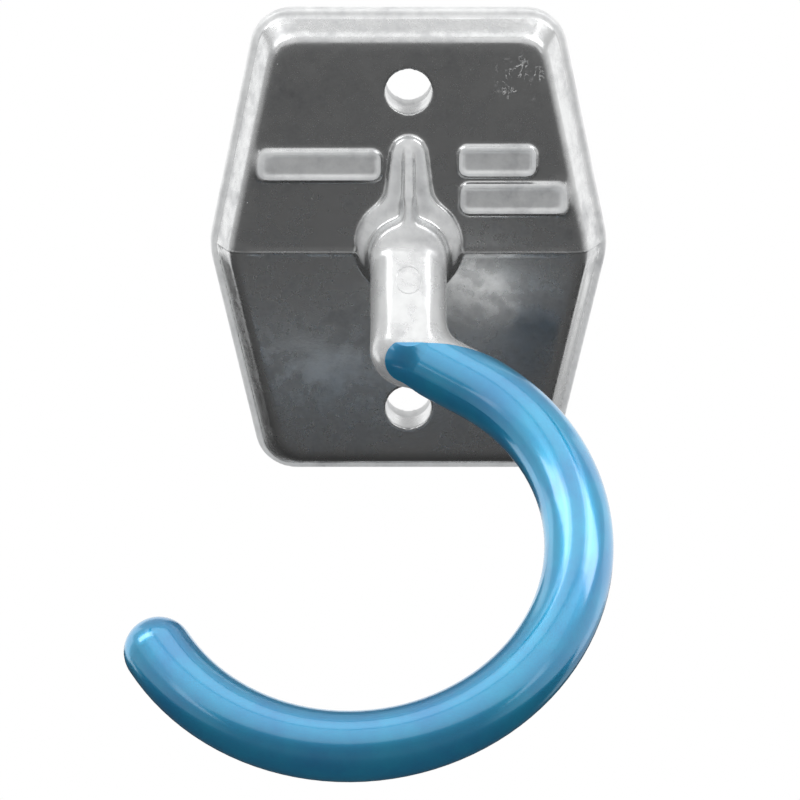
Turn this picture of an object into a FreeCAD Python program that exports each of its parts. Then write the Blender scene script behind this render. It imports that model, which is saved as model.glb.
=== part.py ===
import FreeCAD, Part
import math
import os
import re
import Sketcher

# Garage utility hook: one aluminium casting with a blue dip coating over the round hook.
# Millimetres. X to the right, +Y into the wall, Z up. The wall plane is Y = 0 and the
# origin is the middle of the plate's back, level with the parting ridge.

os.makedirs("parts", exist_ok=True)
doc = FreeCAD.newDocument("GarageHook")
V = FreeCAD.Vector
close = 0.01  # points nearer than this count as the same
tipShare = 0.48  # corner round of the tongue's tip, as a share of its width
crestShare = 0.3  # edge round of the rib's crest, as a share of its width
rimShare = 0.28  # edge round of a panel's rim, as a share of its width

# Driving dimensions
sheet = doc.addObject("Spreadsheet::Sheet", "dims")
dims = [
    ("plateHalfHigh", "43.87"),     # middle of the plate to its top or bottom edge
    ("plateHalfMid", "35.87"),      # half width at the side points, before rounding
    ("plateHalfEnd", "26.55"),      # half width at the top and bottom corners
    ("plateDrop", "0.48"),          # middle of the plate below the middle of the screw holes
    ("plateDeep", "8.6"),           # wall to the face
    ("cornerRound", "7.5"),
    ("sideRound", "13.5"),
    ("flangeDeep", "3.2"),          # rounded bead around the back edge
    ("flangeRound", "0.85"),
    ("flangeBackRound", "1.6"),
    ("wallInset", "1.2"),          # outline to the foot of the sloping wall, on the bead's front
    ("wallTaper", "26"),
    ("shoulderRound", "2.2"),
    ("ridgeHigh", "0.13"),          # parting line standing proud
    ("ridgeWide", "0.5"),
    ("ridgeSink", "0.3"),           # the parting line's foot, in front of the bead's front
    ("holeSpacing", "60"),
    ("holeWide", "8.2"),
    ("backRim", "4.4"),             # width of the land around the hollow back
    ("backDeep", "3.8"),
    ("backBossWide", "16"),
    ("backPadWide", "24"),
    ("backRibWide", "5"),
    ("joinDeep", "1"),              # how far hidden pieces run into one another
    ("ringWide", "18.9"),           # low round step under the arm
    ("ringUp", "1.5"),
    ("ringHigh", "1.5"),            # above the face
    ("ringRound", "1.1"),
    ("tongueTipWide", "6.8"),       # tongue above the ring, narrowing upwards
    ("tongueFootWide", "9.7"),
    ("tongueTop", "21.9"),
    ("tongueBlend", "5"),
    ("ribWide", "2.1"),             # narrow rib on the tongue
    ("ribTop", "20.9"),
    ("ribTopCut", "0.6"),           # slope of the rib's upper end
    ("ribTopHigh", "1.9"),
    ("ribFoot", "4"),
    ("ribFootHigh", "5.9"),
    ("armOver", "1.2"),             # arm's round beyond the bar's, all round
    ("armFlat", "0.95"),            # cut off the arm's round by each flat
    ("armSlope", "55"),             # between the arm and straight down
    ("armRootUp", "0.2"),
    ("armRootOver", "0.3"),
    ("armRootHigh", "5.2"),
    ("armRootRound", "1.6"),
    ("elbowRun", "20.45"),          # along the arm, face to the middle of the elbow
    ("elbowLeft", "0.8"),           # start of the hook's middle line, left of the arm's
    ("elbowBlend", "6"),            # between the elbow's round end and the bar
    ("markWide", "4.4"),            # ejector mark on the arm
    ("markLong", "6.1"),
    ("markRun", "9.9"),
    ("markLine", "0.45"),
    ("markDeep", "0.15"),
    ("barWide", "11.3"),            # cast round bar of the hook
    ("coatThick", "0.25"),
    ("startRun", "14.67"),          # straight start of the bar, from the elbow
    ("hookRadius", "38.2"),         # to the middle of the bar
    ("hookStart", "57"),            # end of the straight start, from the hook's own horizontal
    ("hookEnd", "148.9"),
    ("hookRoll", "2.1"),
    ("dipDeep", "31.1"),            # wall to the edge of the blue dip
    ("padHigh", "0.75"),            # blank pads where markings would stand
    ("padSink", "0.4"),
    ("padRim", "0.85"),
    ("padRound", "1.6"),
    ("padALong", "22"), ("padAHigh", "5.6"), ("padASide", "-15.8"), ("padAUp", "16.5"),
    ("padBLong", "13.8"), ("padBHigh", "5.7"), ("padBSide", "15.7"), ("padBUp", "17.3"),
    ("padCLong", "19.2"), ("padCHigh", "5.8"), ("padCSide", "18.7"), ("padCUp", "10.3"),
]
# Worked out from the ones above
worked = [
    ("sideLean", "=atan((plateHalfMid - plateHalfEnd) / plateHalfHigh)"),
    ("sideGrow", "=1 / cos(sideLean)"),
    ("armWide", "=barWide + 2 * armOver"),
    ("armThick", "=armWide - 2 * armFlat"),
    ("hookMiddle", "=startRun * sin(hookStart) - elbowLeft - hookRadius * cos(hookStart)"),
    ("hookRun", "=elbowRun + startRun * cos(hookStart) + hookRadius * sin(hookStart)"),
]
for line, (name, value) in enumerate(dims + worked, 1):
    sheet.set("A%d" % line, name)
    sheet.set("B%d" % line, value)
    sheet.setAlias("B%d" % line, name)
doc.recompute()
known = [name for name, value in dims + worked]


def bound(text):
    # The same expression with the sheet's label before each dimension name
    def full(found):
        word = found.group(0)
        return "dims." + word if word in known else word
    return re.sub("[A-Za-z]+", full, text)


def calc(text):
    value = sheet.evalExpression(bound(text))
    return float(getattr(value, "Value", value))


def new_body(label):
    body = doc.addObject("PartDesign::Body", label)
    body.Label = label
    return body


def sketch_on(body, role, label, offset=None):
    sketch = body.newObject("Sketcher::SketchObject", label)
    plane = [f for f in body.Origin.OriginFeatures if f.Role == role][0]
    sketch.AttachmentSupport = [(plane, "")]
    sketch.MapMode = "FlatFace"
    if offset:
        sketch.setExpression("AttachmentOffset", bound(offset))
    return sketch


def tie(sketch, kind, parts, text):
    index = sketch.addConstraint(Sketcher.Constraint(kind, *(list(parts) + [calc(text)])))
    sketch.setExpression("Constraints[%d]" % index, bound(text))


def pin(sketch, geo, pos, x, y):
    # Hold one point by its distances from the sketch's origin
    if x == "0" and y == "0":
        sketch.addConstraint(Sketcher.Constraint("Coincident", geo, pos, -1, 1))
        return
    if x == "0":
        sketch.addConstraint(Sketcher.Constraint("PointOnObject", geo, pos, -2))
    else:
        tie(sketch, "DistanceX", (-1, 1, geo, pos), x)
    if y == "0":
        sketch.addConstraint(Sketcher.Constraint("PointOnObject", geo, pos, -1))
    else:
        tie(sketch, "DistanceY", (-1, 1, geo, pos), y)


def polygon(sketch, points):
    spots = [V(calc(x), calc(y), 0) for x, y in points]
    first = None
    lines = []
    for k in range(len(spots)):
        lines.append(sketch.addGeometry(Part.LineSegment(spots[k], spots[(k + 1) % len(spots)]), False))
    for k in range(len(lines)):
        sketch.addConstraint(Sketcher.Constraint("Coincident", lines[k], 2, lines[(k + 1) % len(lines)], 1))
    for k in range(len(lines)):
        pin(sketch, lines[k], 1, points[k][0], points[k][1])
    return lines


def rectangle(sketch, x, z, wide, high):
    left, right = "%s - (%s) / 2" % (x, wide), "%s + (%s) / 2" % (x, wide)
    low, top = "%s - (%s) / 2" % (z, high), "%s + (%s) / 2" % (z, high)
    polygon(sketch, [(left, low), (right, low), (right, top), (left, top)])


def disc(sketch, x, z, wide):
    spot = V(calc(x), calc(z), 0)
    circle = sketch.addGeometry(Part.Circle(spot, V(0, 0, 1), calc(wide) / 2), False)
    pin(sketch, circle, 3, x, z)
    tie(sketch, "Diameter", (circle,), wide)


def pad(body, sketch, label, length, both=False, taper=None):
    feature = body.newObject("PartDesign::Pad", label)
    feature.Profile = sketch
    feature.setExpression("Length", bound(length))
    if both:
        feature.Midplane = True
    if taper:
        feature.setExpression("TaperAngle", bound(taper))
    doc.recompute()
    return feature


def pocket(body, sketch, label, length=None, reverse=False):
    feature = body.newObject("PartDesign::Pocket", label)
    feature.Profile = sketch
    if length:
        feature.setExpression("Length", bound(length))
        feature.Reversed = reverse
    else:
        feature.Type = "ThroughAll"
        feature.Midplane = True
    doc.recompute()
    return feature


def rises(edge):
    # True for an edge that runs away from the wall
    return abs(edge.Vertexes[0].Y - edge.Vertexes[-1].Y) > close


def pick(feature, test, upright=False):
    # Names of the edges whose every point passes the test
    names = []
    for k, edge in enumerate(feature.Shape.Edges):
        if edge.Degenerated or edge.Length < close or (upright and not rises(edge)):
            continue
        if all(test(p) for p in edge.discretize(7)):
            names.append("Edge%d" % (k + 1))
    return names


def rounded(body, feature, label, radius, test, upright=False):
    names = pick(feature, test, upright)
    fillet = body.newObject("PartDesign::Fillet", label)
    fillet.Base = (feature, names)
    fillet.setExpression("Radius", bound(radius))
    doc.recompute()
    return fillet


def along(a, b):
    return abs(a - b) < close


# The plate: flange bead and a face on a sloping wall
casting = new_body("hook_casting")
deep, halfHigh, plateMid = calc("plateDeep"), calc("plateHalfHigh"), calc("-1 * plateDrop")
lean, grow = calc("sideLean"), calc("sideGrow")


def hexagon(sketch, inset):
    high = "plateHalfHigh - %s" % inset
    mid = "plateHalfMid - %s * sideGrow" % inset
    end = "plateHalfMid - %s * sideGrow - (plateHalfHigh - %s) * tan(sideLean)" % (inset, inset)
    top, low = "%s - plateDrop" % high, "-1 * (%s) - plateDrop" % high
    polygon(sketch, [(mid, "-1 * plateDrop"), (end, top), ("-1 * (%s)" % end, top),
                     ("-1 * (%s)" % mid, "-1 * plateDrop"), ("-1 * (%s)" % end, low), (end, low)])


wallSketch = sketch_on(casting, "XZ_Plane", "wallOutline",
                       "placement(vector(0; 0; flangeDeep); rotation(vector(1; 0; 0); 0))")
hexagon(wallSketch, "wallInset")
wall = pad(casting, wallSketch, "wall", "plateDeep - flangeDeep", taper="-1 * wallTaper")
wallEnds = rounded(casting, wall, "wallCorners", "cornerRound - wallInset",
                   lambda p: not along(p.z, plateMid), upright=True)
wallSides = rounded(casting, wallEnds, "wallSides", "sideRound - wallInset",
                    lambda p: along(p.z, plateMid), upright=True)
shoulder = rounded(casting, wallSides, "shoulder", "shoulderRound", lambda p: along(p.y, -deep))

# Flange with a rounded bead
flangeFront = -calc("flangeDeep")
flangeSketch = sketch_on(casting, "XZ_Plane", "flangeOutline")
hexagon(flangeSketch, "0")
flange = pad(casting, flangeSketch, "flange", "flangeDeep")
flangeEnds = rounded(casting, flange, "flangeCorners", "cornerRound",
                     lambda p: p.y > flangeFront - close and not along(p.z, plateMid), upright=True)
flangeSides = rounded(casting, flangeEnds, "flangeSides", "sideRound",
                      lambda p: p.y > flangeFront - close and along(p.z, plateMid), upright=True)


def on_outline(p):
    # On the plate's full outline, corners included
    x, z = abs(p.x), abs(p.z - plateMid)
    side, end = calc("sideRound"), calc("cornerRound")
    cornerZ = halfHigh - end
    cornerX = calc("plateHalfMid") - end * grow - calc("(plateHalfHigh - cornerRound) * tan(sideLean)")
    sideX = calc("plateHalfMid") - side * grow
    onSide = (calc("plateHalfMid") - x - calc("tan(sideLean)") * z) / grow
    return (along(z, halfHigh) or along(onSide, 0) or along(((x - sideX) ** 2 + z ** 2) ** 0.5, side)
            or along(((x - cornerX) ** 2 + (z - cornerZ) ** 2) ** 0.5, end))


flangeBead = rounded(casting, flangeSides, "flangeBead", "flangeRound",
                     lambda p: along(p.y, flangeFront) and on_outline(p))
flangeBack = rounded(casting, flangeBead, "flangeBackEdge", "flangeBackRound", lambda p: along(p.y, 0))

# Hollow back with a land around it, screw bosses, a middle pad and two ribs
hollowSketch = sketch_on(casting, "XZ_Plane", "backHollowOutline")
hexagon(hollowSketch, "backRim")
pocket(casting, hollowSketch, "backHollow", "backDeep", reverse=True)
bossSketch = sketch_on(casting, "XZ_Plane", "backBossOutlines")
disc(bossSketch, "0", "holeSpacing / 2", "backBossWide")
disc(bossSketch, "0", "-1 * holeSpacing / 2", "backBossWide")
disc(bossSketch, "0", "0", "backPadWide")
pad(casting, bossSketch, "backBosses", "backDeep + joinDeep")
uprightSketch = sketch_on(casting, "XZ_Plane", "backUprightOutline")
rectangle(uprightSketch, "0", "-1 * plateDrop", "backRibWide", "2 * (plateHalfHigh - backRim + joinDeep)")
pad(casting, uprightSketch, "backUpright", "backDeep + joinDeep")
crossSketch = sketch_on(casting, "XZ_Plane", "backCrossOutline")
rectangle(crossSketch, "0", "0", "2 * (plateHalfMid - backRim + joinDeep)", "backRibWide")
pad(casting, crossSketch, "backCross", "backDeep + joinDeep")

# Raised island on the face: a round step with a tongue running up from it
ringSketch = sketch_on(casting, "XZ_Plane", "ringOutline")
disc(ringSketch, "0", "ringUp", "ringWide")
pad(casting, ringSketch, "ring", "plateDeep + ringHigh")
tongueSketch = sketch_on(casting, "XZ_Plane", "tongueOutline")
polygon(tongueSketch, [("tongueTipWide / 2", "tongueTop"), ("-1 * tongueTipWide / 2", "tongueTop"),
                       ("-1 * tongueFootWide / 2", "0"), ("tongueFootWide / 2", "0")])
tongue = pad(casting, tongueSketch, "tongue", "plateDeep + ringHigh")
tongueTop = calc("tongueTop")
tipHalf, footHalf = calc("tongueTipWide / 2"), calc("tongueFootWide / 2")


def on_tongue_side(p):
    half = footHalf + (tipHalf - footHalf) * p.z / tongueTop
    return p.y < close - deep and along(abs(p.x), half)


tongueTip = rounded(casting, tongue, "tongueTip", "tongueTipWide * %s" % tipShare,
                    lambda p: on_tongue_side(p) and along(p.z, tongueTop), upright=True)
tongueFlare = rounded(casting, tongueTip, "tongueFlare", "tongueBlend",
                      lambda p: on_tongue_side(p) and p.z < tongueTop - 2 * tipHalf, upright=True)
rounded(casting, tongueFlare, "islandEdge", "ringRound", lambda p: along(p.y, -deep - calc("ringHigh")))

# Inner step that the arm grows from, as wide as the arm
rootSketch = sketch_on(casting, "XZ_Plane", "armRootOutline")
disc(rootSketch, "0", "armRootUp", "armWide + 2 * armRootOver")
root = pad(casting, rootSketch, "armRoot", "plateDeep + armRootHigh")
rounded(casting, root, "armRootEdge", "armRootRound", lambda p: along(p.y, -deep - calc("armRootHigh")))

# Narrow rib from the tongue's tip up to the arm
ribBody = new_body("ribBlade")
ribSketch = sketch_on(ribBody, "YZ_Plane", "ribSide")
polygon(ribSketch, [("-1 * plateDeep", "ribTop"), ("-1 * plateDeep - ribTopHigh", "ribTop - ribTopCut"),
                    ("-1 * plateDeep - ribFootHigh", "ribFoot"), ("-1 * plateDeep", "ribFoot")])
rib = pad(ribBody, ribSketch, "rib", "ribWide", both=True)
crestTop, crestFoot = calc("ribTop - ribTopCut"), calc("ribFoot")
crestRise = calc("ribFootHigh - ribTopHigh") / (crestTop - crestFoot)
rounded(ribBody, rib, "ribCrest", "ribWide * %s" % crestShare,
        lambda p: along(abs(p.x), calc("ribWide / 2"))
        and along(p.y, -deep - calc("ribTopHigh") - crestRise * (crestTop - p.z)))

# Blank raised panels in place of the markings
panels = []
for tag in ("A", "B", "C"):
    x, z, wide, high = "pad%sSide" % tag, "pad%sUp" % tag, "pad%sLong" % tag, "pad%sHigh" % tag
    top = "(plateDeep + padHigh)"
    panel = new_body("panel" + tag)
    outer = sketch_on(panel, "XZ_Plane", "panel%sOutline" % tag,
                      "placement(vector(0; 0; %s - 2 * padHigh); rotation(vector(1; 0; 0); 0))" % top)
    rectangle(outer, x, z, wide, high)
    raised = pad(panel, outer, "panel%sBlock" % tag, "2 * padHigh")
    cx, cz, cw, ch = calc(x), calc(z), calc(wide) / 2, calc(high) / 2
    corners = rounded(panel, raised, "panel%sCorners" % tag, "padRound",
                      lambda p: along(abs(p.x - cx), cw) and along(abs(p.z - cz), ch))
    inner = sketch_on(panel, "XZ_Plane", "panel%sSink" % tag,
                      "placement(vector(0; 0; %s); rotation(vector(1; 0; 0); 0))" % top)
    rectangle(inner, x, z, "(%s - 2 * padRim)" % wide, "(%s - 2 * padRim)" % high)
    sunk = pocket(panel, inner, "panel%sFloor" % tag, "padSink")
    level, rim = calc(top), calc("padRim")
    floor = rounded(panel, sunk, "panel%sFloorCorners" % tag, "padRound - padRim",
                    lambda p: along(abs(p.x - cx), cw - rim) and along(abs(p.z - cz), ch - rim))
    rounded(panel, floor, "panel%sRim" % tag, "padRim * %s" % rimShare, lambda p: along(p.y, -level))
    panels.append(panel)
withPanels = casting.newObject("PartDesign::Boolean", "panelsJoined")
withPanels.setObjects([ribBody] + panels)
withPanels.Type = "Fuse"
doc.recompute()


halfRound = math.pi
armDown = "placement(vector(0; 0; plateDeep); rotation(vector(1; 0; 0); 90 - armSlope))"
armFace = "placement(vector(0; 0; plateDeep); rotation(vector(1; 0; 0); -armSlope))"


def make_arm(label, grow):
    # Round arm with two flats, ending in the elbow's round end
    arm = new_body(label)
    section = sketch_on(arm, "XZ_Plane", label + "Section", armDown)
    disc(section, "0", "0", "(armWide + 2 * %s)" % grow)
    pad(arm, section, label + "Shaft", "elbowRun")
    ball = arm.newObject("PartDesign::AdditiveSphere", label + "Elbow")
    ball.setExpression("Radius", bound("armWide / 2 + %s" % grow))
    ball.AttachmentSupport = [(section, "")]
    ball.MapMode = "ObjectXY"
    ball.setExpression("AttachmentOffset", bound("placement(vector(0; 0; elbowRun); rotation(vector(1; 0; 0); 0))"))
    doc.recompute()
    flats = sketch_on(arm, "XZ_Plane", label + "Flats", armDown)
    level = "(armThick / 2 + %s)" % grow
    for side in ("", "-1 * "):
        polygon(flats, [("-1 * armWide", side + level), ("armWide", side + level),
                        ("armWide", side + "armWide"), ("-1 * armWide", side + "armWide")])
    pocket(arm, flats, label + "FlatCuts")
    return arm


def make_bar(label, grow):
    # Straight start and most of a circle, swept round, with a domed tip
    bar = new_body(label)
    path = sketch_on(bar, "XZ_Plane", label + "Path",
                     armFace + " * placement(vector(0; 0; 0); rotation(vector(0; 1; 0); -hookRoll))")
    start = ("hookMiddle + hookRadius * cos(hookStart)", "hookRadius * sin(hookStart) - hookRun")
    end = ("hookMiddle + hookRadius * cos(hookEnd)", "-1 * hookRadius * sin(hookEnd) - hookRun")
    elbow = ("-1 * elbowLeft", "-1 * elbowRun")
    elbowSpot, startSpot = [V(calc(x), calc(y), 0) for x, y in (elbow, start)]
    line = path.addGeometry(Part.LineSegment(elbowSpot, startSpot), False)
    circle = Part.Circle(V(calc("hookMiddle"), -calc("hookRun"), 0), V(0, 0, 1), calc("hookRadius"))
    low, high = math.radians(-calc("hookEnd")), math.radians(calc("hookStart"))
    arc = path.addGeometry(Part.ArcOfCircle(circle, low, high), False)
    path.addConstraint(Sketcher.Constraint("Coincident", line, 2, arc, 2))
    pin(path, arc, 3, "hookMiddle", "-1 * hookRun")
    pin(path, line, 2, *start)
    pin(path, line, 1, *elbow)
    tie(path, "DistanceY", (-1, 1, arc, 1), end[1])
    doc.recompute()
    section = bar.newObject("Sketcher::SketchObject", label + "Section")
    section.AttachmentSupport = [(path, "Edge1"), (path, "Vertex1")]
    section.MapMode = "NormalToEdge"
    disc(section, "0", "0", "(barWide + 2 * %s)" % grow)
    sweep = bar.newObject("PartDesign::AdditivePipe", label + "Sweep")
    sweep.Profile = section
    sweep.Spine = (path, ["Edge1", "Edge2"])
    sweep.Transition = "Transformed"
    doc.recompute()
    tip = bar.newObject("PartDesign::AdditiveSphere", label + "Tip")
    tip.setExpression("Radius", bound("barWide / 2 + %s" % grow))
    tip.AttachmentSupport = [(path, "")]
    tip.MapMode = "ObjectXY"
    tip.setExpression("AttachmentOffset",
                      bound("placement(vector(%s; %s; 0); rotation(vector(0; 0; 1); 0))" % end))
    doc.recompute()
    return bar


def arm_frame(p):
    # How far a point is along the arm, and how far it is in front of the arm's middle line
    y, z = p.y + deep, p.z
    sinS, cosS = calc("sin(armSlope)"), calc("cos(armSlope)")
    return -y * sinS - z * cosS, -y * cosS + z * sinS


def pick_elbow(shape, grow):
    # Edges where the bar leaves the elbow's round end
    run, wide, thick = calc("elbowRun"), calc("armWide / 2 + %s" % grow), calc("armThick / 2 + %s" % grow)

    def spots(p):
        along_arm, front = arm_frame(p)
        beyond = max(0, along_arm - run)
        return along_arm, abs(front), (p.x ** 2 + front ** 2 + beyond ** 2) ** 0.5

    names = []
    for k, edge in enumerate(shape.Edges):
        if edge.Degenerated or edge.Length < close:
            continue
        found = [spots(p) for p in edge.discretize(9)]
        on_skin = all(abs(far - wide) < 2 * close and along_arm > run / 2 for along_arm, front, far in found)
        on_seam = all(along(along_arm, run) for along_arm, front, far in found)
        on_flat = all(along(front, thick) for along_arm, front, far in found)
        if on_skin and not on_seam and not on_flat:
            names.append("Edge%d" % (k + 1))
    return names


arm = make_arm("arm", "0")
bar = make_bar("bar", "0")


def round_slot(sketch, z, wide, high):
    # Round-ended slot standing upright on its sketch's middle line
    radius = calc(wide) / 2
    ends = ["%s + (%s - %s) / 2" % (z, high, wide), "%s - (%s - %s) / 2" % (z, high, wide)]
    top, low = [calc(end) for end in ends]
    upper = sketch.addGeometry(Part.ArcOfCircle(Part.Circle(V(0, top, 0), V(0, 0, 1), radius),
                                                0, halfRound), False)
    lower = sketch.addGeometry(Part.ArcOfCircle(Part.Circle(V(0, low, 0), V(0, 0, 1), radius),
                                                halfRound, 2 * halfRound), False)
    left = sketch.addGeometry(Part.LineSegment(V(-radius, top, 0), V(-radius, low, 0)), False)
    right = sketch.addGeometry(Part.LineSegment(V(radius, low, 0), V(radius, top, 0)), False)
    ring = (upper, left, lower, right)
    for k in range(len(ring)):
        sketch.addConstraint(Sketcher.Constraint("Tangent", ring[k], 2, ring[(k + 1) % len(ring)], 1))
    pin(sketch, upper, 3, "0", ends[0])
    pin(sketch, lower, 3, "0", ends[1])
    tie(sketch, "Radius", (upper,), "%s / 2" % wide)


# Thin parting line down the middle of the face and over the shoulders
ridge = new_body("partingRidge")
ridgeSketch = sketch_on(ridge, "XY_Plane", "ridgeSection")
turn = "atan(tan(wallTaper) * sideGrow)"
foot = ("(plateHalfMid - wallInset * sideGrow - (sideRound - wallInset) * (sideGrow - 1)"
        " + flangeDeep * tan(%s))" % turn)
centreX = "(%s - (plateDeep - shoulderRound) * tan(%s) - shoulderRound / cos(%s))" % (foot, turn, turn)
centreY = "(shoulderRound - plateDeep)"
lowX = "(%s - (flangeDeep - ridgeSink) * tan(%s) + ridgeHigh / cos(%s))" % (foot, turn, turn)
wallX = "(%s + (shoulderRound + ridgeHigh) * cos(%s))" % (centreX, turn)
wallY = "(%s - (shoulderRound + ridgeHigh) * sin(%s))" % (centreY, turn)
faceY = "(-1 * plateDeep - ridgeHigh)"
lowY = "(ridgeSink - flangeDeep)"
corners = [(lowX, lowY), (wallX, wallY), (centreX, faceY), ("-1 * " + centreX, faceY),
           ("-1 * " + wallX, wallY), ("-1 * " + lowX, lowY)]
spots = [V(calc(x), calc(y), 0) for x, y in corners]


def bend(a, b, side):
    centre = V(side * calc(centreX), calc(centreY), 0)
    middle = (a + b) * 0.5 - centre
    middle.normalize()
    return Part.Arc(a, centre + middle * calc("shoulderRound + ridgeHigh"), b)


outline = [Part.LineSegment(spots[0], spots[1]), bend(spots[1], spots[2], 1),
           Part.LineSegment(spots[2], spots[3]), bend(spots[3], spots[4], -1),
           Part.LineSegment(spots[4], spots[5]), Part.LineSegment(spots[5], spots[0])]
ids = [ridgeSketch.addGeometry(piece, False) for piece in outline]
for k in (0, 2, 4, 5):
    pin(ridgeSketch, ids[k], 1, *corners[k])
for k in (0, 2):
    pin(ridgeSketch, ids[k], 2, *corners[k + 1])
ridgeSketch.addConstraint(Sketcher.Constraint("Coincident", ids[4], 2, ids[5], 1))
ridgeSketch.addConstraint(Sketcher.Constraint("Coincident", ids[5], 2, ids[0], 1))
doc.recompute()
for k in (1, 3):
    # Which end of the arc meets which line depends on its direction
    near, far = (1, 2) if (ridgeSketch.getPoint(ids[k], 1) - spots[k]).Length < close else (2, 1)
    ridgeSketch.addConstraint(Sketcher.Constraint("Coincident", ids[k], near, ids[k - 1], 2))
    ridgeSketch.addConstraint(Sketcher.Constraint("Coincident", ids[k], far, ids[k + 1], 1))
    tie(ridgeSketch, "Radius", (ids[k],), "shoulderRound + ridgeHigh")
pad(ridge, ridgeSketch, "ridgeBlade", "ridgeWide", both=True)

joined = casting.newObject("PartDesign::Boolean", "hookJoined")
joined.setObjects([arm, bar, ridge])
joined.Type = "Fuse"
doc.recompute()

# Screw holes
holeSketch = sketch_on(casting, "XZ_Plane", "screwHoleOutlines")
disc(holeSketch, "0", "holeSpacing / 2", "holeWide")
disc(holeSketch, "0", "-1 * holeSpacing / 2", "holeWide")
pocket(casting, holeSketch, "screwHoles", "plateDeep + joinDeep", reverse=True)

# Ejector mark on the arm's flat
markSketch = sketch_on(casting, "XZ_Plane", "ejectorMark",
                       armFace + " * placement(vector(0; 0; armThick / 2); rotation(vector(1; 0; 0); 0))")
round_slot(markSketch, "-1 * markRun", "markWide", "markLong")
round_slot(markSketch, "-1 * markRun", "(markWide - 2 * markLine)", "(markLong - 2 * markLine)")
mark = pocket(casting, markSketch, "ejectorMarkGroove", "markDeep")

elbow = casting.newObject("PartDesign::Fillet", "elbowFillet")
elbow.Base = (mark, pick_elbow(mark.Shape, "0"))
elbow.setExpression("Radius", bound("elbowBlend"))
doc.recompute()
casting.Tip = elbow

# Blue dip coating: the same round shapes grown by its thickness, kept in front of the dip line,
# with the casting taken out
coatWhole = doc.addObject("Part::MultiFuse", "coatWhole")
coatWhole.Shapes = [make_arm("coatArm", "coatThick"), make_bar("coatBar", "coatThick")]
doc.recompute()
coatElbow = doc.addObject("Part::Fillet", "coatElbow")
coatElbow.Base = coatWhole
blend = calc("elbowBlend - coatThick")
coatElbow.Edges = [(int(name[4:]), blend, blend) for name in pick_elbow(coatWhole.Shape, "coatThick")]
dip = doc.addObject("Part::Box", "dipZone")
dip.setExpression("Length", bound("4 * hookRadius"))
dip.setExpression("Width", bound("4 * hookRadius - dipDeep"))
dip.setExpression("Height", bound("5 * hookRadius"))
dip.setExpression("Placement", bound("placement(vector(-2 * hookRadius; -4 * hookRadius; -4 * hookRadius);"
                                     " rotation(vector(0; 0; 1); 0))"))
doc.recompute()
coatFront = doc.addObject("Part::MultiCommon", "coatFront")
coatFront.Shapes = [coatElbow, dip]
coating = doc.addObject("Part::Cut", "hook_coating")
coating.Label = "hook_coating"
coating.Base = coatFront
coating.Tool = casting
doc.recompute()

for thing in doc.Objects:
    if "Invalid" in thing.State or "Error" in thing.State:
        raise RuntimeError("%s does not build: %s" % (thing.Label, thing.State))
for node in (casting, coating):
    if node.Shape.isNull() or not node.Shape.isValid() or len(node.Shape.Solids) != 1:
        raise RuntimeError("%s is not one sound solid" % node.Label)
    node.Shape.exportStep("parts/%s.step" % node.Label)
    print(node.Label, "mm3", round(node.Shape.Volume, 1), node.Shape.BoundBox)
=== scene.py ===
import bpy
import math
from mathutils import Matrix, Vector


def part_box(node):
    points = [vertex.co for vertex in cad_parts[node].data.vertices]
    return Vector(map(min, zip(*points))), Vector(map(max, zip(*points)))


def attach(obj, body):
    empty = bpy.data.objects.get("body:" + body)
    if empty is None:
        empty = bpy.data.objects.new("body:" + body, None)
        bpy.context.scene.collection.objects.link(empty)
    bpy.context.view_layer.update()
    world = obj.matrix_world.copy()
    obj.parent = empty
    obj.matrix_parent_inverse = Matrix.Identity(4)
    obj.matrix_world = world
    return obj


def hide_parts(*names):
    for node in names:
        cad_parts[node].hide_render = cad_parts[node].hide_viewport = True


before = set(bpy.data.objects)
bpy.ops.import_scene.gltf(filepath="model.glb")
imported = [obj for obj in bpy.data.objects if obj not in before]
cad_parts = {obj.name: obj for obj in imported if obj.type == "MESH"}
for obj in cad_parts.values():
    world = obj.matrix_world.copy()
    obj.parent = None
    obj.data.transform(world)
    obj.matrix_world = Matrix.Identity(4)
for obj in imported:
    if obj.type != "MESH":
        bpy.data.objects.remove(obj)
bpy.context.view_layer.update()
mm = 0.001  # metres in a millimetre
print("frame loaded")


def toLinear(hexColour):
    # sRGB hex to the linear colour that a shader wants
    channels = [int(hexColour[k:k + 2], 16) / 255 for k in (1, 3, 5)]
    return tuple(c / 12.92 if c <= 0.04045 else ((c + 0.055) / 1.055) ** 2.4 for c in channels) + (1,)


def addNode(tree, kind, settings=None, links=None):
    # One node with its settings by socket or property name, and what feeds its inputs
    node = tree.nodes.new(kind)
    for key, value in (settings or {}).items():
        if isinstance(key, str) and hasattr(node, key):
            setattr(node, key, value)
        else:
            node.inputs[key].default_value = value
    for key, source in (links or {}).items():
        tree.links.new(source, node.inputs[key])
    return node


def newMaterial(name):
    material = bpy.data.materials.new(name)
    material.use_nodes = True
    tree = material.node_tree
    tree.nodes.clear()
    return material, tree


def clearSelection():
    if bpy.context.object and bpy.context.object.mode != "OBJECT":
        bpy.ops.object.mode_set(mode="OBJECT")
    bpy.ops.object.select_all(action="DESELECT")


def makeActive(piece):
    clearSelection()
    bpy.context.view_layer.objects.active = piece
    piece.select_set(True)


def applyModifier(piece, name, kind, settings):
    modifier = piece.modifiers.new(name, kind)
    for key, value in settings.items():
        setattr(modifier, key, value)
    bpy.ops.object.modifier_apply(modifier=name)


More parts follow.
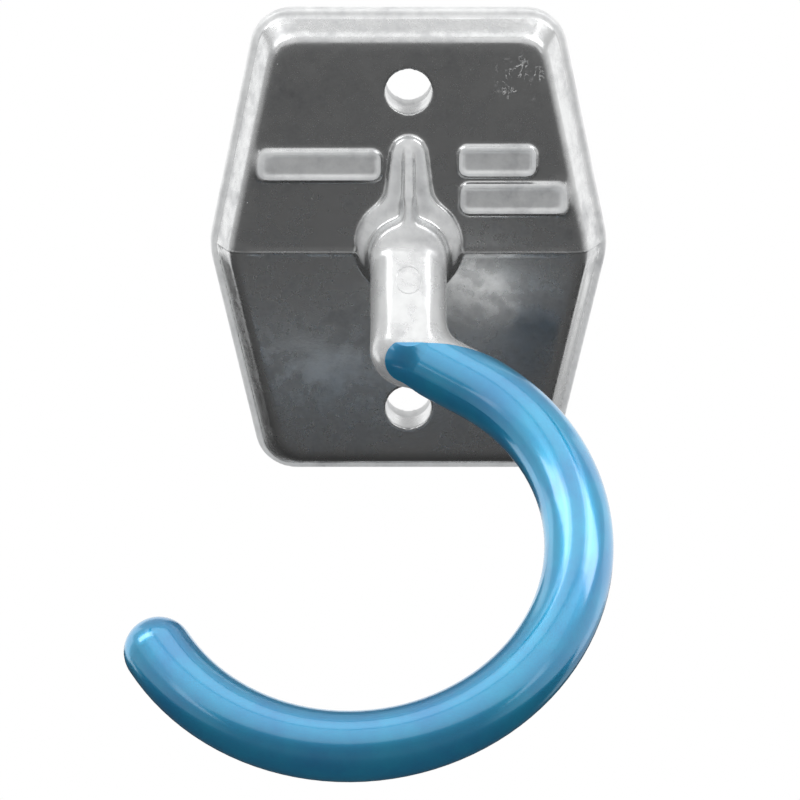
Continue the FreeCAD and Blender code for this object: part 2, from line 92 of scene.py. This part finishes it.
# The casting as it leaves the die: the drawn steps and creases run softly together. Each pair says
# where a softening starts and where it is full, or starts to end and has ended, in millimetres
castSkin = {"grain": 0.33, "weld": 0.002, "triangles": 190000, "smoothing": 0.5,
            "frontSteps": 3, "crease": (3.4, 4.2), "dipEdge": (28.1, 30.1), "panelKept": 0.8,
            "panelLow": (5, 6), "panelTop": (21, 22), "panelIn": (5, 6.5), "panelOut": (27, 28.5),
            "rootSteps": 100, "rootSide": (9.2, 11.7), "rootLow": (-12.5, -10), "rootTop": (9.5, 12),
            "rootFront": (9.2, 9.7), "rootEnd": (22.1, 28.1),
            "tongueSteps": 1, "tongueSide": (11, 12), "tongueLow": (-9, -7), "tongueTop": (23, 24),
            "tongueFront": (8.75, 9.3), "tongueEnd": (16, 18),
            "shoulderSteps": 45, "shoulderSide": 27.5, "shoulderTop": 35, "shoulderWide": 3,
            "shoulderDeep": (4.6, 5.8), "middleDrop": 0.48, "sideLean": 0.2124,
            "cornerSteps": 45, "cornerSide": (18, 21), "cornerHigh": (31, 34), "cornerDeep": (3.9, 4.6),
            "tipWide": 4.4, "tipDeep": 8.5, "tipRise": (14, 21.5), "tipOver": 1.5, "tipPinch": 0.14,
            "lineHalf": 0.3, "lineHigh": 0.16, "lineDeep": (3.6, 9.2), "lineSide": 9.2, "lineNear": 0.002}


def fade(value, low, high):
    # 0 below low, 1 above high, smooth between
    share = min(1, max(0, (value - low) / (high - low)))
    return share * share * (3 - 2 * share)


def weigh(piece, name, rule):
    # A vertex group with a weight from the rule for each place in millimetres
    group = piece.vertex_groups.new(name=name)
    for vertex in piece.data.vertices:
        weight = rule(*(c / mm for c in vertex.co))
        if weight > 0:
            group.add([vertex.index], weight, "REPLACE")


def makeCastSkin(values):
    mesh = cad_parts["hook_casting"].data.copy()
    piece = bpy.data.objects.new("castSkin", mesh)
    bpy.context.scene.collection.objects.link(piece)
    makeActive(piece)
    bpy.ops.object.mode_set(mode="EDIT")
    bpy.ops.mesh.select_all(action="SELECT")
    bpy.ops.mesh.remove_doubles(threshold=values["weld"] * mm)
    bpy.ops.object.mode_set(mode="OBJECT")
    rise, over = values["tipRise"], values["tipOver"]
    for vertex in mesh.vertices:
        # The tongue draws in to a blunt point
        x, y, z = [c / mm for c in vertex.co]
        if y < -values["tipDeep"] and abs(x) < values["tipWide"] and rise[0] < z < rise[1] + over:
            vertex.co.x *= 1 - values["tipPinch"] * fade(z, *rise)
    applyModifier(piece, "grain", "REMESH", {"mode": "VOXEL", "voxel_size": values["grain"] * mm})
    print("remeshed to", len(piece.data.polygons), "faces")

    def onFront(x, y, z):
        # In front of the bead's crease and behind the dip's edge, and hardly on the panels
        high = fade(z, *values["panelLow"]) * (1 - fade(z, *values["panelTop"]))
        panel = high * fade(abs(x), *values["panelIn"]) * (1 - fade(abs(x), *values["panelOut"]))
        near = fade(-y, *values["crease"]) * (1 - fade(-y, *values["dipEdge"]))
        return near * (1 - values["panelKept"] * panel)

    def atRoot(x, y, z):
        side = 1 - fade(abs(x), *values["rootSide"])
        high = fade(z, *values["rootLow"]) * (1 - fade(z, *values["rootTop"]))
        return side * high * fade(-y, *values["rootFront"]) * (1 - fade(-y, *values["rootEnd"]))

    def atTongue(x, y, z):
        side = 1 - fade(abs(x), *values["tongueSide"])
        high = fade(z, *values["tongueLow"]) * (1 - fade(z, *values["tongueTop"]))
        return side * high * fade(-y, *values["tongueFront"]) * (1 - fade(-y, *values["tongueEnd"]))

    def atShoulder(x, y, z):
        # The band where the face turns over into the sloping walls
        high = abs(z + values["middleDrop"])
        past = max(abs(x) + high * values["sideLean"] - values["shoulderSide"], high - values["shoulderTop"])
        return fade(past, 0, values["shoulderWide"]) * fade(-y, *values["shoulderDeep"])

    def atCorner(x, y, z):
        high = abs(z + values["middleDrop"])
        side = fade(abs(x), *values["cornerSide"])
        return side * fade(high, *values["cornerHigh"]) * fade(-y, *values["cornerDeep"])

    for name, rule in (("front", onFront), ("root", atRoot), ("tongue", atTongue), ("shoulder", atShoulder),
                       ("corner", atCorner)):
        weigh(piece, name, rule)
        applyModifier(piece, name + "Smooth", "SMOOTH",
                      {"factor": values["smoothing"], "iterations": values[name + "Steps"],
                       "vertex_group": name})
    # The remesh leaves four-sided faces, two triangles each
    applyModifier(piece, "thin", "DECIMATE", {"ratio": values["triangles"] / (2 * len(piece.data.polygons))})
    piece.vertex_groups.clear()
    box = [[c / mm for c in corner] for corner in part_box("hook_casting")]
    for vertex in piece.data.vertices:
        # The remesh may swell a hair past the drawn size
        vertex.co = [min(max(c, low * mm), high * mm) for c, low, high in zip(vertex.co, *box)]
    # Parting line: three cuts across the front, the middle one raised
    bpy.ops.object.mode_set(mode="EDIT")
    bpy.ops.mesh.select_mode(type="VERT")
    for level in (-values["lineHalf"], 0, values["lineHalf"]):
        bpy.ops.mesh.select_all(action="SELECT")
        bpy.ops.mesh.bisect(plane_co=(0, 0, level * mm), plane_no=(0, 0, 1))
    bpy.ops.mesh.select_all(action="DESELECT")
    bpy.ops.object.mode_set(mode="OBJECT")
    back, front = values["lineDeep"]
    for vertex in piece.data.vertices:
        x, y, z = [c / mm for c in vertex.co]
        vertex.select = abs(z) < values["lineNear"] and back < -y < front and abs(x) > values["lineSide"]
    bpy.ops.object.mode_set(mode="EDIT")
    bpy.ops.transform.shrink_fatten(value=values["lineHigh"] * mm)
    bpy.ops.mesh.select_all(action="SELECT")
    bpy.ops.mesh.quads_convert_to_tris()
    bpy.ops.object.mode_set(mode="OBJECT")
    bpy.ops.object.shade_smooth()
    print("cast skin has", len(piece.data.polygons), "faces")
    return piece


castPiece = makeCastSkin(castSkin)
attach(castPiece, "root")
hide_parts("hook_casting")
print("casting softened")

# The round an ejector pin left on the arm's flat: a fine raised ring
ejectorMark = {"place": (0, -20.1, -0.85), "tilt": 35, "across": 4.5, "tall": 5.7, "line": 0.22,
               "proud": 0.06, "lookFrom": 5, "around": 64, "section": 10}


def makeEjectorMark(values):
    # Found on the softened flat by looking at it square on
    tilt = math.radians(values["tilt"])
    outward = Vector((0, -math.sin(tilt), math.cos(tilt)))
    start = Vector([v * mm for v in values["place"]]) + outward * values["lookFrom"] * mm
    spot = castPiece.ray_cast(start, -outward)[1]
    half = values["line"] / 2
    clearSelection()
    bpy.ops.mesh.primitive_torus_add(major_segments=values["around"], minor_segments=values["section"],
                                     major_radius=values["across"] / 2 * mm, minor_radius=half * mm,
                                     location=spot - outward * (half - values["proud"]) * mm,
                                     rotation=(tilt, 0, 0))
    piece = bpy.context.object
    piece.name = "ejectorMark"
    piece.scale = (1, values["tall"] / values["across"], 1)
    bpy.ops.object.transform_apply(location=True, rotation=True, scale=True)
    bpy.ops.object.shade_smooth()
    return piece


markPiece = makeEjectorMark(ejectorMark)
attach(markPiece, "root")
print("ejector mark made")

# Bare aluminium, pressure die cast: bright where the die was polished, frosted on the flange and on the
# tops of the raised parts where the die was cut, with small pits and cold marks. Specks are drawn a
# little coarser than real pits, to show. Sizes and depths in millimetres
castAluminium = {"colour": "#F5F6F6", "cloudDark": "#BFC0C2", "roughness": 0.28, "spread": 0.2,
                 "smearFull": 0.6, "frostRoughness": 0.38, "frostDepth": 8.75, "frostEdge": 0.35,
                 "frostMetal": 0.28, "ahead": (0.72, 0.92), "behind": (0.3, 0.6), "armDepth": 11.5,
                 "armFade": 2, "armMetal": 0.66, "beadDepth": 3.3, "beadEdge": 0.3,
                 "cloudSize": 11, "cloudDetail": 5.0, "cloudRough": 0.65, "cloudRange": (0.3, 0.72),
                 "mottleSize": 2.6, "mottleDetail": 4.0, "mottleRough": 0.6, "mottleRange": (0.28, 0.7),
                 "grainSize": 0.6, "grainDetail": 3.0, "grainRough": 0.5, "grainHigh": 0.008,
                 "speckCell": 1.9, "speckWide": 0.13, "speckCore": 0.02, "speckChance": (0.6, 1.0),
                 "speckRough": 0.6, "speckMetal": 0.5, "markPlace": (19.5, -8.6, 32), "markReach": 5.5,
                 "markFull": 0.4, "markCell": 2.4, "markDetail": 3.0, "markTwist": 1.6,
                 "markLevel": 0.53, "markWide": 0.012, "markBreak": (0.5, 0.58), "markHigh": 0.03}


def makeCastAluminium(values):
    material, tree = newMaterial("dieCastAluminium")
    place = addNode(tree, "ShaderNodeTexCoord")
    here = place.outputs["Object"]
    axes = addNode(tree, "ShaderNodeSeparateXYZ", {}, {0: here})
    facing = addNode(tree, "ShaderNodeSeparateXYZ", {}, {0: place.outputs["Normal"]})
    # Frost: in front of the polished face and facing straight ahead, and all of the flange and back
    deep, bead, arm = values["frostDepth"] * mm, values["beadDepth"] * mm, values["armDepth"] * mm
    front = addNode(tree, "ShaderNodeMapRange",
                    {"From Min": -deep, "From Max": -deep - values["frostEdge"] * mm},
                    {"Value": axes.outputs["Y"]})
    ahead = addNode(tree, "ShaderNodeMapRange",
                    {"From Min": -values["ahead"][0], "From Max": -values["ahead"][1]},
                    {"Value": facing.outputs["Y"]})
    tops = addNode(tree, "ShaderNodeMath", {"operation": "MULTIPLY"},
                   {0: front.outputs[0], 1: ahead.outputs[0]})
    flange = addNode(tree, "ShaderNodeMapRange",
                     {"From Min": -bead - values["beadEdge"] * mm, "From Max": -bead},
                     {"Value": axes.outputs["Y"]})
    behind = addNode(tree, "ShaderNodeMapRange",
                     {"From Min": values["behind"][0], "From Max": values["behind"][1]},
                     {"Value": facing.outputs["Y"]})
    ends = addNode(tree, "ShaderNodeMath", {"operation": "MAXIMUM"},
                   {0: flange.outputs[0], 1: behind.outputs[0]})
    frost = addNode(tree, "ShaderNodeMath", {"operation": "MAXIMUM"},
                    {0: tops.outputs[0], 1: ends.outputs[0]})
    # Clouds and mottles of a surface that cooled unevenly
    clouds = addNode(tree, "ShaderNodeTexNoise",
                     {"Scale": 1 / (values["cloudSize"] * mm), "Detail": values["cloudDetail"],
                      "Roughness": values["cloudRough"]}, {"Vector": here})
    mottle = addNode(tree, "ShaderNodeTexNoise",
                     {"Scale": 1 / (values["mottleSize"] * mm), "Detail": values["mottleDetail"],
                      "Roughness": values["mottleRough"]}, {"Vector": here})
    cloudShare = addNode(tree, "ShaderNodeMapRange",
                         {"From Min": values["cloudRange"][0], "From Max": values["cloudRange"][1]},
                         {"Value": clouds.outputs["Fac"]})
    mottleShare = addNode(tree, "ShaderNodeMapRange",
                          {"From Min": values["mottleRange"][0], "From Max": values["mottleRange"][1]},
                          {"Value": mottle.outputs["Fac"]})
    mixed = addNode(tree, "ShaderNodeMath", {"operation": "MULTIPLY"},
                    {0: cloudShare.outputs[0], 1: mottleShare.outputs[0]})
    # Sparse bright specks, one in some of the cells
    cells = addNode(tree, "ShaderNodeTexVoronoi", {"Scale": 1 / (values["speckCell"] * mm)}, {"Vector": here})
    cellTone = addNode(tree, "ShaderNodeSeparateColor", {}, {0: cells.outputs["Color"]})
    dot = addNode(tree, "ShaderNodeMapRange",
                  {"From Min": values["speckWide"] / values["speckCell"], "From Max": values["speckCore"]},
                  {"Value": cells.outputs["Distance"]})
    chance = addNode(tree, "ShaderNodeMapRange",
                     {"From Min": values["speckChance"][0], "From Max": values["speckChance"][1]},
                     {"Value": cellTone.outputs[0]})
    speck = addNode(tree, "ShaderNodeMath", {"operation": "MULTIPLY"},
                    {0: dot.outputs[0], 1: chance.outputs[0]})
    # A patch of cold marks near one corner, where the metal met late
    reach = values["markReach"] * mm
    away = addNode(tree, "ShaderNodeVectorMath",
                   {"operation": "DISTANCE", 1: [c * mm for c in values["markPlace"]]}, {0: here})
    swirl = addNode(tree, "ShaderNodeTexNoise",
                    {"Scale": 1 / (values["markCell"] * mm), "Detail": values["markDetail"],
                     "Distortion": values["markTwist"]}, {"Vector": here})
    line = addNode(tree, "ShaderNodeMath",
                   {"operation": "COMPARE", 1: values["markLevel"], 2: values["markWide"]},
                   {0: swirl.outputs["Fac"]})
    patch = addNode(tree, "ShaderNodeMapRange", {"From Min": reach, "From Max": reach * values["markFull"]},
                    {"Value": away.outputs["Value"]})
    broken = addNode(tree, "ShaderNodeMapRange",
                     {"From Min": values["markBreak"][0], "From Max": values["markBreak"][1]},
                     {"Value": mottle.outputs["Fac"]})
    drawn = addNode(tree, "ShaderNodeMath", {"operation": "MULTIPLY"},
                    {0: line.outputs[0], 1: patch.outputs[0]})
    marks = addNode(tree, "ShaderNodeMath", {"operation": "MULTIPLY"},
                    {0: drawn.outputs[0], 1: broken.outputs[0]})
    bright = addNode(tree, "ShaderNodeMath", {"operation": "MAXIMUM"},
                     {0: speck.outputs[0], 1: marks.outputs[0]})
    tone = addNode(tree, "ShaderNodeMath", {"operation": "SUBTRACT"},
                   {0: mixed.outputs[0], 1: bright.outputs[0]})
    colour = addNode(tree, "ShaderNodeMix",
                     {"data_type": "RGBA", 6: toLinear(values["colour"]), 7: toLinear(values["cloudDark"])},
                     {0: tone.outputs[0]})
    # Rougher where it is cloudy, on the frost and on the specks
    smear = addNode(tree, "ShaderNodeMapRange",
                    {"From Max": values["smearFull"], "To Min": values["roughness"] - values["spread"] / 2,
                     "To Max": values["roughness"] + values["spread"] / 2}, {"Value": mixed.outputs[0]})
    blur = addNode(tree, "ShaderNodeMapRange", {"To Max": values["frostRoughness"]},
                   {"Value": frost.outputs[0], "To Min": smear.outputs[0]})
    dull = addNode(tree, "ShaderNodeMath", {"operation": "MULTIPLY", 1: values["speckRough"]},
                   {0: bright.outputs[0]})
    rough = addNode(tree, "ShaderNodeMath", {"operation": "MAXIMUM"},
                    {0: blur.outputs[0], 1: dull.outputs[0]})
    # Frost and specks are less of a mirror, and the arm past the polished die face a little less all round
    bare = addNode(tree, "ShaderNodeMapRange", {"To Min": 1.0, "To Max": values["frostMetal"]},
                   {"Value": frost.outputs[0]})
    armShine = addNode(tree, "ShaderNodeMapRange",
                       {"From Min": -arm, "From Max": -arm - values["armFade"] * mm, "To Min": 1.0,
                        "To Max": values["armMetal"]}, {"Value": axes.outputs["Y"]})
    spotted = addNode(tree, "ShaderNodeMapRange", {"To Min": 1.0, "To Max": values["speckMetal"]},
                      {"Value": bright.outputs[0]})
    cut = addNode(tree, "ShaderNodeMath", {"operation": "MINIMUM"},
                  {0: bare.outputs[0], 1: armShine.outputs[0]})
    shine = addNode(tree, "ShaderNodeMath", {"operation": "MINIMUM"},
                    {0: cut.outputs[0], 1: spotted.outputs[0]})
    grain = addNode(tree, "ShaderNodeTexNoise",
                    {"Scale": 1 / (values["grainSize"] * mm), "Detail": values["grainDetail"],
                     "Roughness": values["grainRough"]}, {"Vector": here})
    grainBump = addNode(tree, "ShaderNodeBump", {"Strength": 1.0, "Distance": values["grainHigh"] * mm},
                        {"Height": grain.outputs["Fac"]})
    markBump = addNode(tree, "ShaderNodeBump", {"Strength": 1.0, "Distance": values["markHigh"] * mm},
                       {"Height": bright.outputs[0], "Normal": grainBump.outputs[0]})
    shader = addNode(tree, "ShaderNodeBsdfPrincipled", {},
                     {"Base Color": colour.outputs[2], "Metallic": shine.outputs[0],
                      "Roughness": rough.outputs[0], "Normal": markBump.outputs[0]})
    addNode(tree, "ShaderNodeOutputMaterial", {}, {"Surface": shader.outputs["BSDF"]})
    return material


# Clear blue dip lacquer with a pearl in it over the casting: the metal shows through as a blue shine,
# with a milky sheen on top and soft streaks from its glossy skin. Sizes in millimetres
blueLacquer = {"colour": "#06B4E6", "deep": "#059AD6", "metallic": 0.75, "roughness": 0.32,
               "smoother": 0.04, "rougher": 0.06, "blurRange": (0.3, 0.7), "coatIor": 2.3,
               "coatRoughness": 0.14, "cloudSize": 12, "cloudDetail": 5.0, "cloudRough": 0.6,
               "cloudRange": (0.35, 0.65), "flowSize": 5, "flowDetail": 2.0, "flowHigh": 0.02}


def makeBlueLacquer(values):
    material, tree = newMaterial("blueDipLacquer")
    here = addNode(tree, "ShaderNodeTexCoord").outputs["Object"]
    cloud = addNode(tree, "ShaderNodeTexNoise",
                    {"Scale": 1 / (values["cloudSize"] * mm), "Detail": values["cloudDetail"],
                     "Roughness": values["cloudRough"]}, {"Vector": here})
    tone = addNode(tree, "ShaderNodeMapRange",
                   {"From Min": values["cloudRange"][0], "From Max": values["cloudRange"][1]},
                   {"Value": cloud.outputs["Fac"]})
    colour = addNode(tree, "ShaderNodeMix",
                     {"data_type": "RGBA", 6: toLinear(values["colour"]), 7: toLinear(values["deep"])},
                     {0: tone.outputs[0]})
    flow = addNode(tree, "ShaderNodeTexNoise",
                   {"Scale": 1 / (values["flowSize"] * mm), "Detail": values["flowDetail"]}, {"Vector": here})
    bump = addNode(tree, "ShaderNodeBump", {"Strength": 1.0, "Distance": values["flowHigh"] * mm},
                   {"Height": flow.outputs["Fac"]})
    blur = addNode(tree, "ShaderNodeMapRange",
                   {"From Min": values["blurRange"][0], "From Max": values["blurRange"][1],
                    "To Min": values["roughness"] - values["smoother"],
                    "To Max": values["roughness"] + values["rougher"]}, {"Value": cloud.outputs["Fac"]})
    shader = addNode(tree, "ShaderNodeBsdfPrincipled",
                     {"Metallic": values["metallic"], "Coat Weight": 1.0,
                      "Coat IOR": values["coatIor"], "Coat Roughness": values["coatRoughness"]},
                     {"Base Color": colour.outputs[2], "Roughness": blur.outputs[0],
                      "Normal": bump.outputs[0], "Coat Normal": bump.outputs[0]})
    addNode(tree, "ShaderNodeOutputMaterial", {}, {"Surface": shader.outputs["BSDF"]})
    return material


def wear(piece, material):
    piece.data.materials.clear()
    piece.data.materials.append(material)


castMaterial = makeCastAluminium(castAluminium)
wear(castPiece, castMaterial)
wear(markPiece, castMaterial)
wear(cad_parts["hook_coating"], makeBlueLacquer(blueLacquer))
# The face shows the bar as a grey shade, as photographed, so reflections see its bare core
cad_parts["hook_coating"].visible_glossy = False
print("materials made")

# Camera: far off and a little above, as the photograph was taken
photoView = {"place": (-1.515, -676.97, 249.72), "downTilt": 22.6, "lens": 180, "sensor": 36,
             "nearest": 10, "farthest": 20000}


def placeCamera(values):
    bpy.ops.object.camera_add(location=[v * mm for v in values["place"]],
                              rotation=(math.radians(90 - values["downTilt"]), 0, 0))
    camera = bpy.context.object
    camera.name = "photoCamera"
    camera.data.lens = values["lens"]
    camera.data.sensor_width = values["sensor"]
    camera.data.clip_start = values["nearest"] * mm
    camera.data.clip_end = values["farthest"] * mm
    bpy.context.scene.camera = camera


placeCamera(photoView)
print("camera placed")

# Studio: white sweep all round, soft light overhead with a brighter strip each side, grey cards in
# front, at the sides and under the hook; every card is seen by reflections alone
studio = {"air": 0.8, "sky": 1.0, "floorDrop": 360, "floorHalf": 4000, "floorColour": "#F4F4F4",
          "aim": (0, -40, -10),
          "overhead": {"place": (0, 60, 900), "wide": 760, "long": 520, "power": 1.3},
          "strips": {"aside": 600, "ahead": -60, "up": 780, "wide": 300, "long": 900, "power": 1.8}}
# Each card: grey at its lower edge, grey at its upper edge, its two lower and two upper corners
cards = {
    "ceiling": ("#000000", "#000000",
                [(-520, -240, 960), (520, -240, 960), (-520, 420, 960), (520, 420, 960)]),
    "frontCurtain": ("#646464", "#666666",
                     [(-1000, -1300, -520), (1000, -1300, -520), (-1000, -1300, 120), (1000, -1300, 120)]),
    "frontRise": ("#606060", "#707070",
                  [(-1000, -1300, 120), (1000, -1300, 120), (-1000, -897, 512), (1000, -897, 512)]),
    "frontTop": ("#CCCCCC", "#F0F0F0",
                 [(-1000, -897, 512), (1000, -897, 512), (-1000, -240, 1150), (1000, -240, 1150)]),
    "tableFront": ("#626262", "#343434",
                   [(-1000, -1300, -330), (1000, -1300, -330), (-1000, 60, -330), (1000, 60, -330)]),
    "tableBack": ("#404040", "#404040",
                  [(-560, 60, -330), (250, 60, -330), (-560, 540, -330), (250, 540, -330)]),
    "tableRight": ("#9A9A9A", "#B0B0B0",
                   [(250, 60, -330), (520, 60, -330), (250, 430, -330), (520, 430, -330)]),
    "leftCurtain": ("#5C5C5C", "#C0C0C0",
                    [(-1000, -1300, -330), (-1000, -1300, 260), (-1000, 240, -330), (-1000, 240, 260)]),
    "rightCurtain": ("#646464", "#E0E0E0",
                     [(1000, -1300, -330), (1000, -1300, 260), (1000, 240, -330), (1000, 240, 260)]),
    "leftRise": ("#C0C0C0", "#C0C0C0",
                 [(-1100, -700, 260), (-1100, 700, 260), (-800, -700, 1000), (-800, 700, 1000)]),
    "rightRise": ("#C0C0C0", "#C0C0C0",
                  [(1100, -700, 260), (1100, 700, 260), (800, -700, 1000), (800, 700, 1000)]),
    "backRise": ("#B4B4B4", "#C8C8C8",
                 [(-900, 1200, 350), (900, 1200, 350), (-900, 560, 1150), (900, 560, 1150)]),
}


def aimAt(thing, target):
    # Lamps shine along their own -Z
    thing.rotation_euler = (Vector(target) - thing.location).to_track_quat("-Z", "Y").to_euler()


def addSoftbox(name, place, wide, long, power, target):
    bpy.ops.object.light_add(type="AREA", location=[v * mm for v in place])
    lamp = bpy.context.object
    lamp.name = name
    lamp.data.shape = "RECTANGLE"
    lamp.data.size = wide * mm
    lamp.data.size_y = long * mm
    lamp.data.energy = power
    aimAt(lamp, [v * mm for v in target])
    lamp.visible_camera = False


def addCard(name, low, high, corners):
    # A flat card that only reflections see, as a photographer's flag outside the frame
    clearSelection()
    bpy.ops.mesh.primitive_plane_add(size=1)
    card = bpy.context.object
    card.name = name
    for vertex, corner in zip(card.data.vertices, corners):
        vertex.co = [v * mm for v in corner]
    material, tree = newMaterial(name + "Paint")
    place = addNode(tree, "ShaderNodeTexCoord")
    across = addNode(tree, "ShaderNodeSeparateXYZ", {}, {0: place.outputs["UV"]})
    shade = addNode(tree, "ShaderNodeMix", {"data_type": "RGBA"}, {0: across.outputs["Y"]})
    shade.inputs[6].default_value = toLinear(low)
    shade.inputs[7].default_value = toLinear(high)
    glow = addNode(tree, "ShaderNodeEmission", {"Strength": 1.0}, {"Color": shade.outputs[2]})
    addNode(tree, "ShaderNodeOutputMaterial", {}, {"Surface": glow.outputs[0]})
    card.data.materials.append(material)
    card.visible_camera = False
    card.visible_diffuse = False
    card.visible_shadow = False


def addFloor(values):
    # Pale floor well below the hook, as white as the backdrop where the camera sees it
    clearSelection()
    bpy.ops.mesh.primitive_plane_add(size=2 * values["floorHalf"] * mm,
                                     location=(0, 0, -values["floorDrop"] * mm))
    floor = bpy.context.object
    floor.name = "studioFloor"
    material, tree = newMaterial("studioFloorPaint")
    path = addNode(tree, "ShaderNodeLightPath")
    paint = addNode(tree, "ShaderNodeBsdfDiffuse", {"Color": toLinear(values["floorColour"])})
    white = addNode(tree, "ShaderNodeEmission", {"Color": (1, 1, 1, 1), "Strength": 1.0})
    shown = addNode(tree, "ShaderNodeMath", {"operation": "MAXIMUM"},
                    {0: path.outputs["Is Camera Ray"], 1: path.outputs["Is Glossy Ray"]})
    seen = addNode(tree, "ShaderNodeMixShader", {},
                   {0: shown.outputs[0], 1: paint.outputs[0], 2: white.outputs[0]})
    addNode(tree, "ShaderNodeOutputMaterial", {}, {"Surface": seen.outputs[0]})
    floor.data.materials.append(material)


def makeStudio(values):
    world = bpy.data.worlds.new("studioAir")
    bpy.context.scene.world = world
    world.use_nodes = True
    tree = world.node_tree
    tree.nodes.clear()
    path = addNode(tree, "ShaderNodeLightPath")
    seen = addNode(tree, "ShaderNodeMath", {"operation": "MAXIMUM"},
                   {0: path.outputs["Is Camera Ray"], 1: path.outputs["Is Glossy Ray"]})
    through = addNode(tree, "ShaderNodeMath", {"operation": "MAXIMUM"},
                      {0: seen.outputs[0], 1: path.outputs["Is Transmission Ray"]})
    dim = addNode(tree, "ShaderNodeBackground", {"Color": (1, 1, 1, 1), "Strength": values["air"]})
    white = addNode(tree, "ShaderNodeBackground", {"Color": (1, 1, 1, 1), "Strength": values["sky"]})
    mix = addNode(tree, "ShaderNodeMixShader", {},
                  {0: through.outputs[0], 1: dim.outputs[0], 2: white.outputs[0]})
    addNode(tree, "ShaderNodeOutputWorld", {}, {"Surface": mix.outputs[0]})
    overhead, strips = values["overhead"], values["strips"]
    addSoftbox("overheadSoftbox", overhead["place"], overhead["wide"], overhead["long"],
               overhead["power"], values["aim"])
    for side, name in ((-1, "leftStrip"), (1, "rightStrip")):
        addSoftbox(name, (side * strips["aside"], strips["ahead"], strips["up"]), strips["wide"],
                   strips["long"], strips["power"], values["aim"])
    for name, (low, high, corners) in cards.items():
        addCard(name, low, high, corners)


makeStudio(studio)
print("studio made")

scene = bpy.context.scene
scene.view_settings.view_transform = "Standard"
